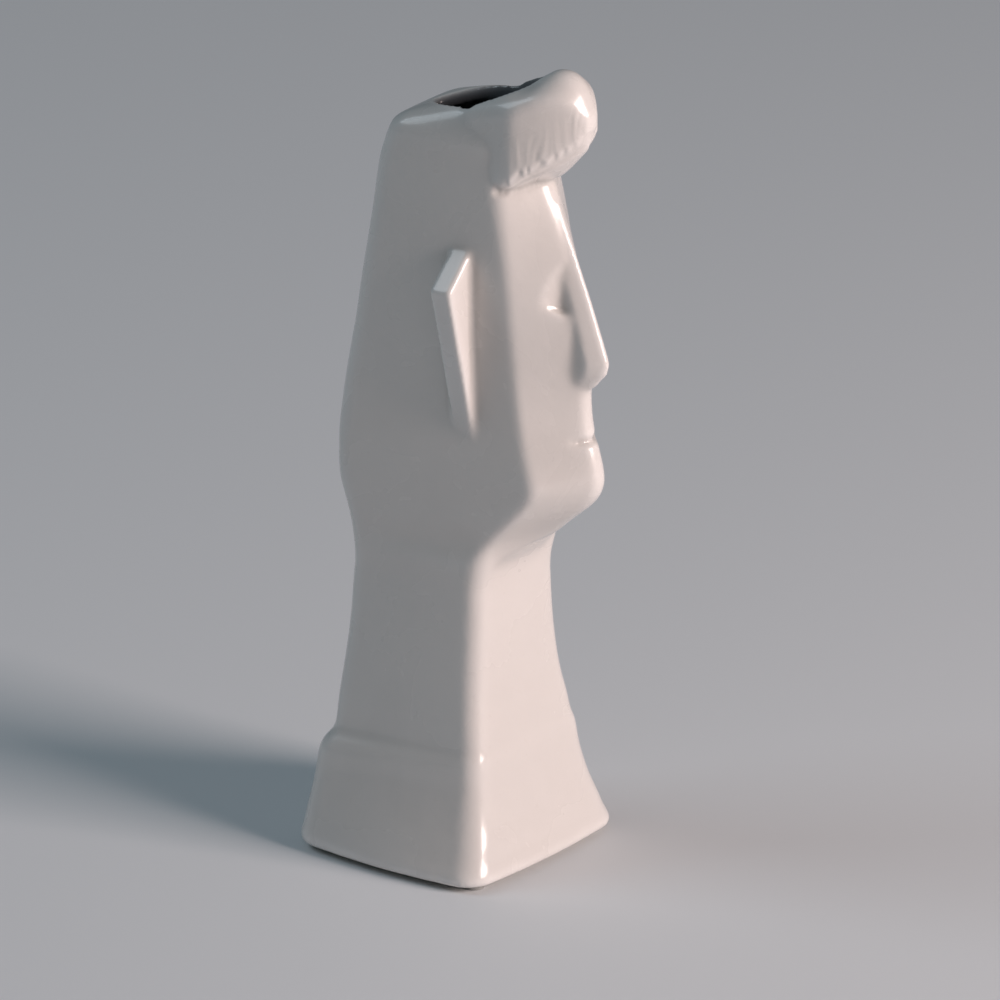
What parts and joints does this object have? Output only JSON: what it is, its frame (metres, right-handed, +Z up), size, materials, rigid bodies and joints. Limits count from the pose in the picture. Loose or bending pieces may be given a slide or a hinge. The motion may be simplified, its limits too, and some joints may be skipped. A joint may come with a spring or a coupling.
{
  "type": "face vase",
  "caption": "Tall glazed ceramic vase shaped as a long stylised head with fin ears and a hair roll, open through a slit in the crown, on a square foot with clear pads.",
  "frame": {"origin": "on the surface the vase stands on, under the middle of the vase's box", "axes": "+Z up; the face looks along -Y; X across the face, with the body symmetrical about X = 0"},
  "size_m": [0.0924, 0.1132, 0.3067],
  "materials": {
    "glaze": "glossy white glaze",
    "clear_pad": "clear soft plastic"
  },
  "bodies": {
    "root": {"vase_body": "glaze", "foot_pad_front_left": "clear_pad", "foot_pad_front_right": "clear_pad", "foot_pad_rear_left": "clear_pad", "foot_pad_rear_right": "clear_pad"}
  },
  "joints": []
}
